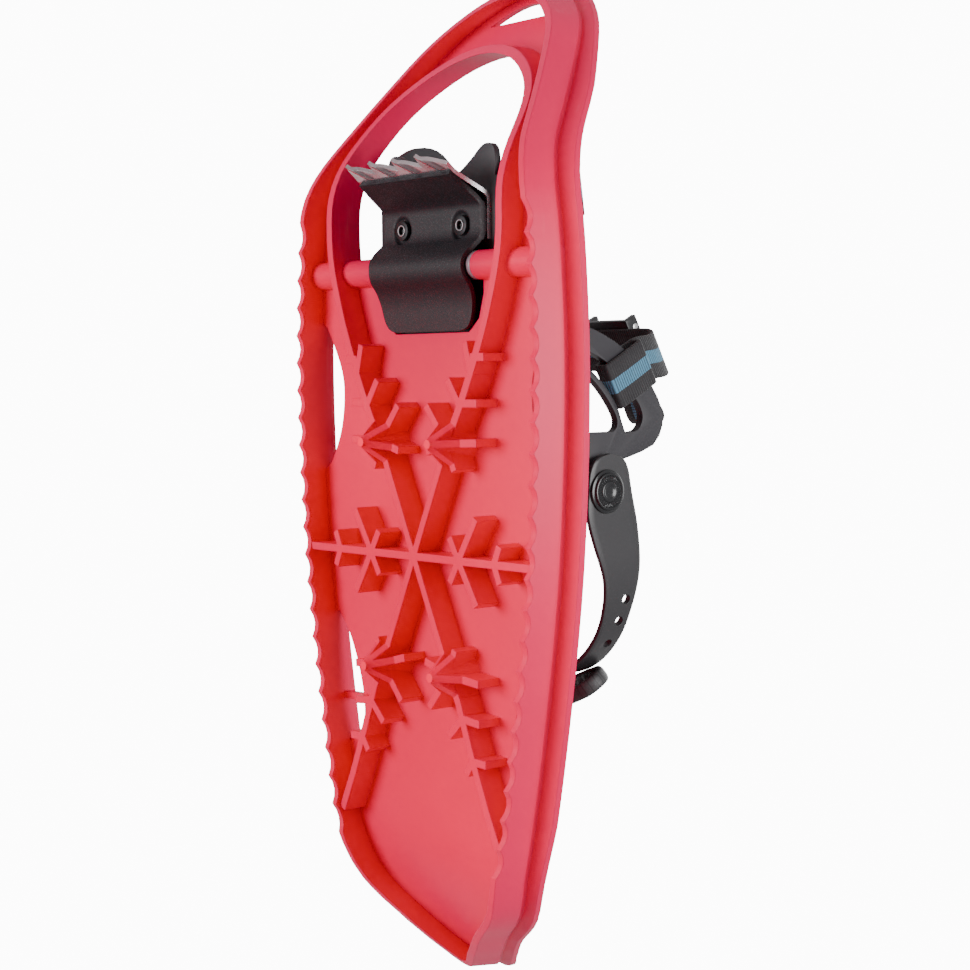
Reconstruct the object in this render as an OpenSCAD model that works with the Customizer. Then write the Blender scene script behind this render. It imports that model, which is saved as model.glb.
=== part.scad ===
// One-piece moulded child's snowshoe with a strap binding, a hinged toothed crampon
// and a snowflake of traction ribs under the deck.  Millimetres, +Z up, toe towards +Y.
// Heights inside the modules are counted from the lower edge of the rim, which follows
// ground_z(y): flat in the middle and rising at the toe and the tail.

/* [Deck] */
// Thickness of the deck plate
plate_t = 3.4; // [2.6:0.1:4.2]
// Height of the plate's underside above the rim's lower edge
plate_z = 13.8; // [12:0.1:16]
// Height of the rim's top above its lower edge
rim_h = 20; // [18:0.5:23]
// Thickness of the rim wall
wall_t = 3; // [2.4:0.1:4]
// Width of the flange around the rim
flange_w = 10; // [6:0.5:12]
// Thickness of the flange
flange_t = 3; // [2.5:0.1:4]
// Pitch of the arches along the rim's lower edge
arch_pitch = 12.25; // [10:0.05:13]
// Depth of those arches
arch_depth = 2.4; // [0.5:0.1:3]

/* [Traction ribs] */
// Thickness of a rib
rib_t = 3.3; // [2.4:0.1:4]
// Height of the ribs' lower edge above the rim's lower edge
rib_z = 2.5; // [1.5:0.1:5]
// How far a spike reaches below the rim's lower edge
spike_drop = 7.5; // [3:0.5:9]
// Distance of a spike from the deck's centre line
spike_x = 22.6; // [20:0.1:24]
// Distance of a spike from the cross rib
spike_y = 47.8; // [44:0.1:50]

/* [Pivot] */
// Place of the pivot axis along the deck
pivot_y = 119.5; // [118:0.1:121]
// Height of the pivot axis above the rim's lower edge
pivot_z = 12.6; // [12:0.1:13]
// Radius of the steel rod
rod_r = 4; // [3.5:0.1:4.2]
// Outer radius of the bosses on the deck
boss_r = 6; // [5.6:0.1:6.2]
// Distance of the bosses' inner ends from the centre line
boss_in = 34; // [33.5:0.1:36]
// Radial running clearance of the hub on the rod
run_gap = 0.05; // [0.02:0.01:0.1]

/* [Crampon] */
// Half width of the crampon's cover
cover_w = 32.5; // [28:0.5:33]
// Thickness of the toothed steel plate
steel_t = 1.8; // [1.5:0.1:2]
// Number of teeth
tooth_n = 4; // [3:1:5]
// Distance of each screw from the centre line
screw_x = 19.5; // [15:0.5:22]
// Place of the screws along the deck
screw_y = 136.5; // [135:0.1:138]
// Radius of a screw's shank
screw_r = 2.5; // [2:0.1:3]

/* [Binding] */
// Thickness of the cradle's sole
sole_t = 3; // [2.5:0.1:4]
// Half width of the cradle's sole
sole_w = 33; // [31:0.5:34]
// Distance of the wings' inner faces from the centre line
wing_x = 37.5; // [37:0.5:39]
// Thickness of the wings
wing_t = 3.8; // [3:0.1:4.2]
// Width of the webbing straps
web_w = 21; // [16:1:22]
// Thickness of the webbing
web_t = 1.8; // [1.5:0.1:2.2]
// Thickness of the heel strap
heel_t = 2.6; // [2.2:0.1:3]
// Place of the heel strap's buttons along the deck
button_y = 25; // [22:0.5:27]
// Height of the heel strap's buttons
button_z = 70.5; // [68:0.5:74]

/* [Hidden] */
$fn = 48;

coral = [0.98, 0.30, 0.36];
black = [0.14, 0.13, 0.15];
steel = [0.75, 0.75, 0.76];
clear_grey = [0.62, 0.60, 0.64];

// The part's origin: middle of the length, at the level of the spikes' tips
mid_y = 30;
module placed() { translate([0, -mid_y, spike_drop]) children(); }

// ---- curves ----
toe_bend = 143;      // the toe starts to rise here
toe_run = 30;        // and has its full slope after this length
toe_slope = 0.74;
tail_bend = -118;    // the tail rises in a parabola from here
tail_flat = 135;
function toe_rise(u) = u <= 0 ? 0 : u < toe_run ? toe_slope * u * u / (2 * toe_run)
                     : toe_slope * (u - toe_run / 2);
function tail_rise(u) = u <= 0 ? 0 : u * u / tail_flat;
function ground_z(y) = toe_rise(y - toe_bend) + tail_rise(tail_bend - y);

// Smooth curve through hand-set points; the ends mirror about the centre line when asked
function spline_at(a, b, c, d, t) =
    0.5 * (2 * b + (c - a) * t + (2 * a - 5 * b + 4 * c - d) * t * t
           + (3 * b - a - 3 * c + d) * t * t * t);
function mirrored(p) = [-p.x, p.y];
function before(P, i, sym) = i > 0 ? P[i - 1] : sym ? mirrored(P[1]) : 2 * P[0] - P[1];
function after(P, i, sym) = i < len(P) - 2 ? P[i + 2]
    : sym ? mirrored(P[len(P) - 2]) : 2 * P[len(P) - 1] - P[len(P) - 2];
function spline(P, n, sym0, sym1) =
    [for (i = [0:len(P) - 2], k = [0:n - 1])
        spline_at(before(P, i, sym0), P[i], P[i + 1], after(P, i, sym1), k / n),
     P[len(P) - 1]];
function reversed(C) = [for (i = [len(C) - 1:-1:0]) C[i]];

// Unit normal on the left of a curve, level across the ends that meet the centre line
function tangent(C, i) =
    i == 0 && C[0].x == 0 ? [1, 0]
    : i == len(C) - 1 && C[i].x == 0 ? [-1, 0]
    : C[min(i + 1, len(C) - 1)] - C[max(i - 1, 0)];
function normal(C, i) = let (t = tangent(C, i)) [-t.y, t.x] / norm(t);
function moved(C, d) = [for (i = [0:len(C) - 1]) C[i] + normal(C, i) * d];
function closed(C) =
    concat(C, [for (i = [len(C) - 2:-1:1]) mirrored(C[i])]);

// Plan of the rim's lower edge, from the toe's tip down one side to the tail's tip
RIM = [[0, 241], [20, 236.5], [39.5, 222], [53, 200], [66, 172], [75.5, 146], [79.5, 105],
       [80, 60], [76.5, 0], [69, -55], [60, -104], [54, -127], [44, -147], [27, -161.5],
       [11.5, -174.5], [0, -182]];
rim_curve = spline(RIM, 4, true, true);
// The flange narrows towards both tips
function flange_at(y) =
    flange_w - (flange_w - 5) * (min(1, max(0, (y - 185) / 40)))
             - (flange_w - 4) * (min(1, max(0, (-y - 105) / 60)));
flange_curve = [for (i = [0:len(rim_curve) - 1])
    rim_curve[i] + normal(rim_curve, i) * flange_at(rim_curve[i].y)];

// Rib that starts at the front spike, passes the pivot and arches around the toe opening
ARCH = [[spike_x, spike_y - 1], [33.5, 66], [43.5, 87], [50.5, 105], [56.2, 126], [57, 147],
        [55.6, 170], [49.5, 188], [37.5, 200.5], [20, 210], [0, 213.5]];
arch_curve = spline(ARCH, 4, false, true);
arch_t = 3.8;
// Rib that runs back from the rear spike to the rim
REAR = [[spike_x, -spike_y - 1], [28.3, -59], [36.5, -80], [45.5, -101], [53, -117]];

// Levels along the deck at which the height curve is drawn
LEVELS = concat([for (y = [-204:8:-124]) y], [-118], [for (y = [143:5:173]) y], [262]);
module side_band(lo, hi) {
    rotate([90, 0, 90])
        linear_extrude(220, center = true)
            polygon(concat([for (y = LEVELS) [y, ground_z(y) + lo]],
                           reversed([for (y = LEVELS) [y, ground_z(y) + hi]])));
}
module side_extrude(points, width) {
    rotate([90, 0, 90]) linear_extrude(width, center = true) polygon(points);
}

// ---- deck ----
arch_first = -10;
arch_last = 11;
arch_mid = 1.2;
function arch_y(k) = arch_mid + k * arch_pitch;
SCALLOPS = [for (k = [arch_first:arch_last], s = [-0.5, -0.25, 0, 0.25])
    [arch_y(k + s), arch_depth * (1 - 4 * s * s)]];
module scalloped_band(hi) {
    low_tail = [for (y = LEVELS) if (y < arch_y(arch_first - 0.5)) [y, ground_z(y)]];
    low_toe = [for (y = LEVELS) if (y > arch_y(arch_last + 0.5)) [y, ground_z(y)]];
    side_extrude(concat(low_tail,
                        [for (p = SCALLOPS) [p.x, p.y + ground_z(p.x)]],
                        low_toe,
                        reversed([for (y = LEVELS) [y, ground_z(y) + hi]])), 220);
}
module rim_plan(outer, inner) {
    translate([0, 0, -20])
        linear_extrude(130)
            difference() {
                polygon(closed(outer));
                polygon(closed(inner));
            }
}
module rim() {
    groove_top = rim_h - flange_t;
    difference() {
        intersection() {
            rim_plan(rim_curve, moved(rim_curve, -wall_t));
            scalloped_band(rim_h - 1.2);
        }
        intersection() {
            rim_plan(moved(rim_curve, 2), moved(rim_curve, -1.2));
            side_band(plate_z + 0.4, groove_top + 0.4);
        }
    }
    intersection() {
        rim_plan(flange_curve, moved(rim_curve, -wall_t + 0.1));
        side_band(groove_top, rim_h);
    }
}

// Openings of the plate
FRONT_WINDOW = [[100, 101], [77.5, 100], [70.5, 89], [64.5, 77], [63, 66], [65.2, 52],
                [71, 39.5], [78, 30], [100, 29]];
REAR_WINDOW = [[100, -31], [69, -31], [62.5, -38.5], [57, -49], [53, -60], [51, -70],
               [51.2, -79], [55, -85.5], [62, -89], [100, -90]];
bridge_y = -68.5;
bridge_w = 3;
flap_end = 92.5;
slot_y = 228.2;
slot_w = 21;
slot_h = 7.6;
module through(h0 = -20) { translate([0, 0, h0]) linear_extrude(140) children(); }
module windows() {
    for (s = [-1, 1]) scale([s, 1, 1]) {
        polygon(concat([FRONT_WINDOW[0]],
                       spline([for (i = [1:len(FRONT_WINDOW) - 2]) FRONT_WINDOW[i]], 3),
                       [FRONT_WINDOW[len(FRONT_WINDOW) - 1]]));
        difference() {
            polygon(concat([REAR_WINDOW[0]],
                           spline([for (i = [1:len(REAR_WINDOW) - 2]) REAR_WINDOW[i]], 3),
                           [REAR_WINDOW[len(REAR_WINDOW) - 1]]));
            translate([40, bridge_y - bridge_w / 2]) square([60, bridge_w]);
        }
    }
}
module toe_opening() {
    front = [for (p = arch_curve) if (p.y > pivot_y - 4) p];
    polygon(concat([mirrored(front[0])], closed(front)));
    flap_hole = cover_w + 1.6;
    polygon(concat([[flap_hole, pivot_y + 3], [flap_hole, 108], [flap_hole - 3, 98],
                    [flap_hole - 9.5, flap_end]],
                   [[-flap_hole + 9.5, flap_end], [-flap_hole + 3, 98], [-flap_hole, 108],
                    [-flap_hole, pivot_y + 3]]));
}
module tip_slot() {
    polygon([for (i = [-8:8]) let (x = slot_w * i / 8)
             [x, slot_y + slot_h * (1 - pow(i / 8, 2))]]);
}
module plate() {
    difference() {
        intersection() {
            through() polygon(closed(moved(rim_curve, -wall_t / 2)));
            side_band(plate_z, plate_z + plate_t);
        }
        through() windows();
        through() toe_opening();
        through() tip_slot();
    }
}

// Plan of a straight rib from a to b
module rib(a, b, w = rib_t) {
    d = b - a;
    translate([a.x, a.y]) rotate(atan2(d.y, d.x))
        translate([-w / 3, -w / 2]) square([norm(d) + w / 3, w]);
}
// Ends of the ribs that meet in a spike, with the cross rib at y = 0
FRONT_STAR = [[0, 0], [9.5, 63.4], [33.5, 67], [41.9, 48.4], [9.5, 44.2], [27.5, 36.6]];
REAR_STAR = [[0, 0], [9.6, 62.6], [28.6, 58.4], [41.6, 49.5], [7, 43.6], [26.6, 37]];
// Side tabs along the front rib and along the rear rib
TABS = [[[38.3, 75.6], [35, 88.2]], [[39.5, 82], [46.9, 82]], [[31.2, 62.5], [23.8, 73]],
        [[31.2, 63.4], [42.2, 63.4]], [[31, -65.8], [42, -66.8]], [[31, -65.8], [22.4, -74.2]],
        [[37.5, -82.6], [45.9, -82.9]], [[37.5, -82.6], [33.6, -88.2]]];
flake_x = 29.6;
cross_y = -1;
module side_ribs() {
    spike = [spike_x, spike_y];
    translate([0, cross_y]) {
        rib([0, 0], [76, 0]);
        for (e = FRONT_STAR) rib(spike, e);
        scale([1, -1]) for (e = REAR_STAR) rib(spike, e);
        for (s = [-1, 1]) {
            rib([flake_x, 0], [40.8, 17.8 * s]);
            rib([flake_x, 0], [24, 9.4 * s]);
            rib([52, 0], [55.4, 7.6 * s]);
        }
    }
    for (i = [0:len(REAR) - 2]) rib(REAR[i], REAR[i + 1], 3.6);
    for (t = TABS) rib(t[0], t[1]);
}
module rib_slab() {
    translate([0, 0, rib_z]) linear_extrude(plate_z - rib_z + 0.6) offset(delta = 0.01) {
        side_ribs();
        scale([-1, 1]) side_ribs();
    }
}
// A spike: a blunt cone, and under every rib that meets there a ramp down to the tip
ramp_h = 11.2;
ramp_r = 10.9;
module spike(c, ends) {
    translate([c.x, c.y, -spike_drop]) {
        cylinder(h = spike_drop + plate_z + 0.5, r1 = 2, r2 = 7.5);
        intersection() {
            linear_extrude(ramp_h) offset(delta = 0.01)
                for (e = ends) rib([0, 0], 20 * (e - c) / norm(e - c), rib_t - 0.2);
            translate([0, 0, -0.01]) cylinder(h = ramp_h + 1, r1 = 1.6, r2 = ramp_r);
        }
    }
}
function flipped(points, sx, sy) = [for (p = points) [sx * p.x, sy * p.y]];
module spikes() {
    translate([0, cross_y, 0]) for (s = [-1, 1]) {
        spike([s * spike_x, spike_y], flipped(FRONT_STAR, s, 1));
        spike([s * spike_x, -spike_y], flipped(REAR_STAR, s, -1));
    }
}
module arch_rib() {
    outer = moved(arch_curve, arch_t / 2);
    inner = moved(arch_curve, -arch_t / 2);
    strip = concat(outer, reversed([for (p = outer) if (p.x > 0) mirrored(p)]),
                   [for (p = inner) if (p.x > 0) mirrored(p)], reversed(inner));
    intersection() {
        through() polygon(strip);
        side_band(rib_z, plate_z + plate_t + 0.6);
    }
}
module along_x(x0, x1, r) {
    translate([x0, pivot_y, pivot_z]) rotate([0, 90, 0]) cylinder(h = x1 - x0, r = r);
}
rod_end = 75;
module deck() {
    color(coral) placed() difference() {
        union() {
            rim();
            plate();
            rib_slab();
            spikes();
            arch_rib();
            along_x(boss_in, 77.5, boss_r);
            along_x(-77.5, -boss_in, boss_r);
        }
        // The bore is blind on one side and open on the other, where the rod goes in
        along_x(-rod_end - 1, 90, rod_r);
    }
}

// ---- pivot ----
module pivot_rod() {
    color(steel) placed() along_x(-rod_end, rod_end, rod_r - 0.02);
}
// Plug that closes the bore behind the rod
module rod_cap() {
    color(coral) placed() along_x(rod_end + 0.05, 78.2, rod_r - 0.02);
}
bush_w = 2.4;
module pivot_bushes() {
    color(clear_grey) placed() for (s = [-1, 1])
        difference() {
            along_x(min(s * (boss_in - 0.2), s * (boss_in - 0.2 - bush_w)),
                    max(s * (boss_in - 0.2), s * (boss_in - 0.2 - bush_w)), boss_r);
            along_x(-40, 40, rod_r + run_gap);
        }
}
hub_end = 31;
module pivot_hub() {
    color(black) placed() difference() {
        along_x(-hub_end, hub_end, boss_r);
        along_x(-40, 40, rod_r + run_gap);
    }
}

// ---- crampon ----
// Side view of the cover's lower face: flap, saddle under the hub, flat, front slope
flat_z = 14;
cover_t = 2.2;
steel_z = flat_z + 3;
bend = [155.5, -1];
COVER_LOW = [[94.5, 11.3], [103, 10.8], [110.5, 8.4], [114.5, 5.3], [119.5, 4.1], [124.5, 5.4],
             [128.3, 9.6], [131, 13.2], [134, flat_z], [143.5, flat_z], [bend.x, bend.y]];
COVER_TOP = [[bend.x + 0.8, bend.y + 1.6], [146.6, steel_z], [127.6, steel_z], [126.2, 14]];
COVER_BACK = [[112.4, 11.6], [109, 12.4], [103, 13], [94.5, 13.3]];
saddle_r = boss_r + 0.25;
module cover_plan() {
    linear_extrude(120, center = true)
        polygon([[-22, 93], [22, 93], [30.5, 101], [cover_w, 110], [cover_w, 143],
                 [29.8, 158], [-29.8, 158], [-cover_w, 143], [-cover_w, 110], [-30.5, 101]]);
}
module crampon_cover() {
    color(black) placed() difference() {
        intersection() {
            side_extrude(concat(COVER_LOW, COVER_TOP,
                [for (a = [0:-15:-180]) [pivot_y + saddle_r * cos(a), pivot_z + saddle_r * sin(a)]],
                COVER_BACK), 2 * cover_w + 4);
            cover_plan();
        }
        for (s = [-1, 1]) translate([s * screw_x, screw_y, 0]) {
            cylinder(h = 30, r = screw_r + 0.1);
            translate([0, 0, flat_z - 2]) cylinder(h = 3.6, r = 5.4);
        }
        along_x(-50, 50, saddle_r);
    }
}
// Toothed steel plate: flat under the sole, front slope, and the row of teeth
tooth_tip = [162.4, -7.2];
tooth_w = 2 * 33 / tooth_n;
module crampon() {
    slope_top = [147.6, steel_z + 0.1];
    color(steel) placed() difference() {
        union() {
            intersection() {
                side_extrude([[130, steel_z + 0.1], slope_top, [bend.x + 2, bend.y + 1.5],
                              [bend.x + 3.6, bend.y + 2.2], [148.8, steel_z + 0.1 + steel_t],
                              [130, steel_z + 0.1 + steel_t]], 2 * 33.8);
                linear_extrude(120, center = true)
                    polygon([[-33.8, 120], [33.8, 120], [33.8, 146], [31, 162], [-31, 162],
                             [-33.8, 146]]);
            }
            crampon_teeth();
        }
        for (s = [-1, 1]) translate([s * screw_x, screw_y, 0]) cylinder(h = 40, r = screw_r + 0.1);
    }
}
// The teeth lie in a plane that leaves the bend forwards and down
module crampon_teeth() {
    d = tooth_tip - bend;
    reach = norm(d);
    foot = [bend.x + 1.7, bend.y + 0.8];
    translate([0, foot.x, foot.y])
        rotate([atan2(d.y, d.x), 0, 0])
            linear_extrude(steel_t)
                polygon(concat([[33, -0.6]],
                    [for (i = [0:tooth_n - 1], k = [0, 1])
                        [33 - i * tooth_w - (k == 0 ? 0 : tooth_w * 0.97),
                         k == 0 ? reach : reach * 0.42]],
                    [[-33, -0.6]]));
}
screw_head_z = flat_z - 0.6;
module crampon_screws() {
    color(black) placed() for (s = [-1, 1]) translate([s * screw_x, screw_y, screw_head_z])
        difference() {
            union() {
                cylinder(h = 2, r = 4.3);
                cylinder(h = 12.9, r = screw_r);
            }
            translate([0, 0, -0.1]) cylinder(h = 1.6, r = 1.7, $fn = 6);
        }
}
sole_z = steel_z + steel_t + 0.3;
sole_top = sole_z + sole_t;
clamp_t = 1.6;
module clamp_plate() {
    color(steel) placed() difference() {
        translate([-27, screw_y - 7, sole_top + 0.02]) cube([54, 14, clamp_t]);
        for (s = [-1, 1]) translate([s * screw_x, screw_y, 0]) cylinder(h = 50, r = screw_r + 0.1);
    }
}
module crampon_washers() {
    color(steel) placed() for (s = [-1, 1])
        translate([s * screw_x, screw_y, sole_top + clamp_t + 0.05])
            difference() {
                cylinder(h = 0.6, r = 5);
                translate([0, 0, -1]) cylinder(h = 3, r = screw_r + 0.1);
            }
}
module lock_nuts() {
    color(steel) placed() for (s = [-1, 1])
        translate([s * screw_x, screw_y, sole_top + clamp_t + 0.7])
            difference() {
                cylinder(h = 2.2, r = 4.4, $fn = 6);
                translate([0, 0, -1]) cylinder(h = 8, r = screw_r + 0.02);
            }
}

// ---- cradle ----
SOLE = [[0, 157], [11, 158.5], [20, 163.5], [28, 169], [34, 168.5], [36, 162], [34.5, 146],
        [sole_w, 130], [sole_w, 60], [sole_w, 34], [28, 22],
        [14, 15], [0, 13]];
// Side view of the rear wing: a D-shaped ring on two arms, with two windows
WING = [[39, 30], [39, 57], [34, 58.6], [25, 58.8], [16, 62], [13.3, 70.5], [16, 79], [25, 82.6],
        [36, 82], [39, 90], [43.5, 104], [52, 109.8], [60, 109], [69, 103.5], [80.5, 92.5],
        [88.5, 81], [94.5, 66], [99, 50], [106, 36], [112, 30]];
WING_LOW = [[112, sole_z + 0.3], [39, sole_z + 0.3]];
UPPER_WINDOW = [[49.5, 87], [50.5, 94.5], [56, 97.5], [62.5, 94.5], [71, 86.2], [80, 75.6],
                [86, 60.5], [88.5, 51], [84, 56], [77, 66], [69.5, 75], [61, 82], [54, 85]];
LOWER_WINDOW = [[50, 34], [50, 73], [50.6, 80.6], [54.8, 82.2], [60.6, 79], [68.3, 72.4],
                [75.9, 63.2], [83.5, 51.5], [90.2, 39.3], [91.5, 33], [86, 32], [56, 32]];
TOE_WING = [[120, sole_z + 0.3], [120, 38], [127, 47], [139, 53.5], [154, 57], [167, 57],
            [174.5, 48.5], [175, 37], [170, 27], [156, sole_z + 0.3]];
TOE_WINDOW = [[133, 30], [131.6, 38], [138.6, 46], [154, 50], [164.4, 47.6], [167.4, 40], [162, 32],
              [148, 29]];
module wing(outline, openings) {
    difference() {
        side_extrude(outline, wing_t);
        for (w = openings) side_extrude(spline(w, 3), wing_t + 2);
    }
}
module cradle() {
    color(black) placed() difference() {
        union() {
            translate([0, 0, sole_z]) linear_extrude(sole_t) polygon(closed(spline(SOLE, 4, true, true)));
            for (s = [-1, 1]) {
                translate([s * (wing_x + wing_t / 2), 0, 0]) {
                    wing(concat(spline(WING, 2), WING_LOW), [UPPER_WINDOW, LOWER_WINDOW]);
                    wing(concat([TOE_WING[0]], spline([for (i = [1:8]) TOE_WING[i]], 3), [TOE_WING[9]]),
                         [TOE_WINDOW]);
                }
                // Shelves that join the wings to the sole
                for (span = [[39, 112], [120, 156]])
                    translate([s < 0 ? -wing_x - 0.5 : sole_w - 8, span[0], sole_z])
                        cube([wing_x + 0.5 - sole_w + 8, span[1] - span[0], sole_t]);
            }
            cradle_pads();
        }
        for (s = [-1, 1]) {
            translate([s * screw_x, screw_y, 0]) cylinder(h = 60, r = screw_r + 0.1);
            translate([s * wing_x, button_y, button_z]) rotate([0, 90, 0])
                cylinder(h = 20, r = 3.05, center = true);
        }
    }
}
// Pads under the sole that rest on the deck, the footbed that lifts the boot over the nuts,
// and the bosses that carry the heel strap
footbed_h = 4.6;
module cradle_pads() {
    translate([0, 0, sole_top - 0.5]) linear_extrude(footbed_h + 0.5)
        polygon([[-22, 24], [22, 24], [28, 32], [28, 118], [24, 126], [-24, 126], [-28, 118],
                 [-28, 32]]);
    for (s = [-1, 1], y = [36, 62, 86])
        translate([s * 20, y, plate_z + plate_t + 0.05]) cylinder(h = 3, r = 5);
    button_bore(wing_x + wing_t - 0.4, 43.6, 7);
}

// ---- straps ----
// Webbing bands are drawn in a frame whose X is across the foot, Y is the band's normal
// and Z its width
strap_c = [78.2, 96];
strap_tilt = 62;
module strap_frame(c, tilt) {
    translate([0, c.x, c.y]) rotate([tilt - 90, 0, 0]) rotate([90, 0, 0])
        translate([0, 0, -web_w / 2]) linear_extrude(web_w) offset(delta = 0.01) children();
}
module band(points) {
    c = spline(points, 5, true);
    out = moved(c, web_t / 2);
    in = moved(c, -web_t / 2);
    polygon(concat(reversed([for (p = out) if (p.x > 0) mirrored(p)]), out, reversed(in),
                   [for (p = in) if (p.x > 0) mirrored(p)]));
}
// Loop of webbing around a wing's rail: a flat ring, open for the rail
module rail_loop(x, low, high) {
    gap = 0.35;
    difference() {
        translate([x - wing_t / 2 - gap - web_t, low - web_t])
            square([wing_t + 2 * gap + 2 * web_t, high - low + 2 * web_t]);
        translate([x - wing_t / 2 - gap, low]) square([wing_t + 2 * gap, high - low]);
    }
}
rail_x = wing_x + wing_t / 2;
module instep_strap() {
    color(black) placed() strap_frame(strap_c, strap_tilt) {
        band([[0, 24.5], [15, 23.6], [26, 20.4], [32.6, 14.2], [35.6, 6], [36.1, -2]]);
        for (s = [-1, 1]) scale([s, 1]) rail_loop(rail_x, -18.4, 3);
    }
}
toe_c = [150, 50];
toe_tilt = 82;
module toe_strap() {
    color(black) placed() strap_frame(toe_c, toe_tilt) {
        band([[0, 17], [18, 16], [29, 12.4], [34.6, 6.6], [36.1, -1]]);
        for (s = [-1, 1]) scale([s, 1]) rail_loop(rail_x, -7.2, 9.8);
    }
}

// Cam buckle on the middle of the instep strap
buckle_lift = 25.7;
buckle_shift = -4;
module buckle_place() {
    placed() translate([0, strap_c.x, strap_c.y])
        rotate([strap_tilt - 90, 0, 0]) translate([0, buckle_shift, buckle_lift]) children();
}
lever_y = 8;
lever_z = 4.6;
module buckle_frame() {
    color(black) buckle_place() difference() {
        union() {
            translate([-13.6, -15, 0]) cube([27.2, 28, 2]);
            for (s = [-1, 1]) translate([s * 12.3 - 1.3, 2, 1]) cube([2.6, 11, 5.8]);
        }
        translate([0, lever_y, lever_z]) rotate([0, 90, 0])
            cylinder(h = 40, r = 1.52, center = true);
        translate([-10.5, -11, -1]) cube([21, 4, 4]);
    }
}
module buckle_lever() {
    color(black) buckle_place() difference() {
        union() {
            translate([0, lever_y, lever_z]) rotate([0, 90, 0])
                cylinder(h = 21.6, r = 2.3, center = true);
            translate([-10.8, -9, lever_z - 0.8]) cube([21.6, 17, 2.4]);
        }
        translate([0, lever_y, lever_z]) rotate([0, 90, 0])
            cylinder(h = 40, r = 1.5 + run_gap, center = true);
    }
}
module buckle_pin() {
    color(steel) buckle_place() translate([0, lever_y, lever_z]) rotate([0, 90, 0])
        cylinder(h = 27.2, r = 1.5, center = true);
}
// Free end of the webbing, sewn into a loop for the hand
module pull_loop() {
    color(black) buckle_place() translate([-8, 0, 0]) rotate([90, 0, 90]) linear_extrude(16)
        difference() {
            polygon(spline([[-15.4, 0.4], [-22, -0.8], [-33, -1.6], [-40, 1], [-41.5, 4.4], [-38, 7.4],
                     [-31, 6.2], [-22, 2.6], [-15.4, 2.4]], 4));
            polygon(spline([[-27, 2.1], [-33, 0.6], [-38.4, 2.4], [-38.6, 4.6], [-36, 5.2],
                            [-31, 4]], 4));
        }
}

// ---- heel strap ----
HEEL_PLAN = [[0, -57], [15, -55.5], [28, -49.5], [37, -39.5], [42, -26], [44.6, -10],
             [45.2, 10], [45.2, 42]];
HEEL_LOW = [[41, 73], [39, 65.5], [33, 61.8], [24, 60.8], [14, 60.6], [2, 64.5], [-14, 71],
            [-30, 72.4], [-46, 70.6], [-60, 69.6]];
HEEL_TOP = [[-60, 84], [-46, 85], [-30, 88], [-10, 91], [8, 89.6], [24, 86], [35, 83.6],
            [39.6, 79.5]];
module button_bore(x0, x1, r) {
    for (s = [-1, 1]) translate([s < 0 ? -x1 : x0, button_y, button_z]) rotate([0, 90, 0])
        cylinder(h = x1 - x0, r = r);
}
module heel_strap() {
    c = spline(HEEL_PLAN, 4, true);
    out = moved(c, -heel_t / 2);
    in = moved(c, heel_t / 2);
    color(black) placed() difference() {
        intersection() {
            translate([0, 0, 40]) linear_extrude(70)
                polygon(concat(reversed([for (p = out) if (p.x > 0) mirrored(p)]), out,
                               reversed(in), [for (p = in) if (p.x > 0) mirrored(p)]));
            side_extrude(concat(HEEL_LOW, HEEL_TOP), 120);
        }
        button_bore(40, 50, 3 + run_gap);
        for (s = [-1, 1], h = [[43, -22, -12, 84], [40, -31, -25, 82], [35.6, -40.5, -38, 79.5]])
            translate([s * h[0], h[1], h[3]]) rotate([0, 90, s * h[2]])
                cylinder(h = 12, r = 2.2, center = true);
    }
}
module heel_posts() {
    color(steel) placed() {
        button_bore(wing_x - 1.6, 47.4, 3);
        button_bore(wing_x - 1.6, wing_x - 0.05, 6);
    }
}
module heel_buttons() {
    color(black) placed() difference() {
        union() {
            button_bore(46.7, 47.7, 9.4);
            button_bore(46.7, 48.9, 7.9);
        }
        button_bore(40, 47.5, 3.02);
    }
}
tab_c = [-20, -62.5, 79];
module heel_tab() {
    color(black) placed() translate(tab_c) rotate([0, 0, -22]) rotate([62, 0, 0])
        translate([0, 0, -3.4]) linear_extrude(6.8)
            union() {
                translate([-6, 0]) circle(r = 9);
                translate([6, 0]) circle(r = 9);
                translate([-6, -9]) square([12, 18]);
            }
}

deck();
pivot_rod();
rod_cap();
pivot_bushes();
pivot_hub();
crampon();
crampon_cover();
crampon_screws();
crampon_washers();
clamp_plate();
lock_nuts();
cradle();
toe_strap();
instep_strap();
buckle_frame();
buckle_lever();
buckle_pin();
pull_loop();
heel_strap();
heel_posts();
heel_buttons();
heel_tab();
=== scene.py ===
import math

import bmesh
import bpy
from bpy.props import FloatProperty, FloatVectorProperty, IntProperty, PointerProperty
from mathutils import Matrix, Vector
from mathutils.kdtree import KDTree


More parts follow.
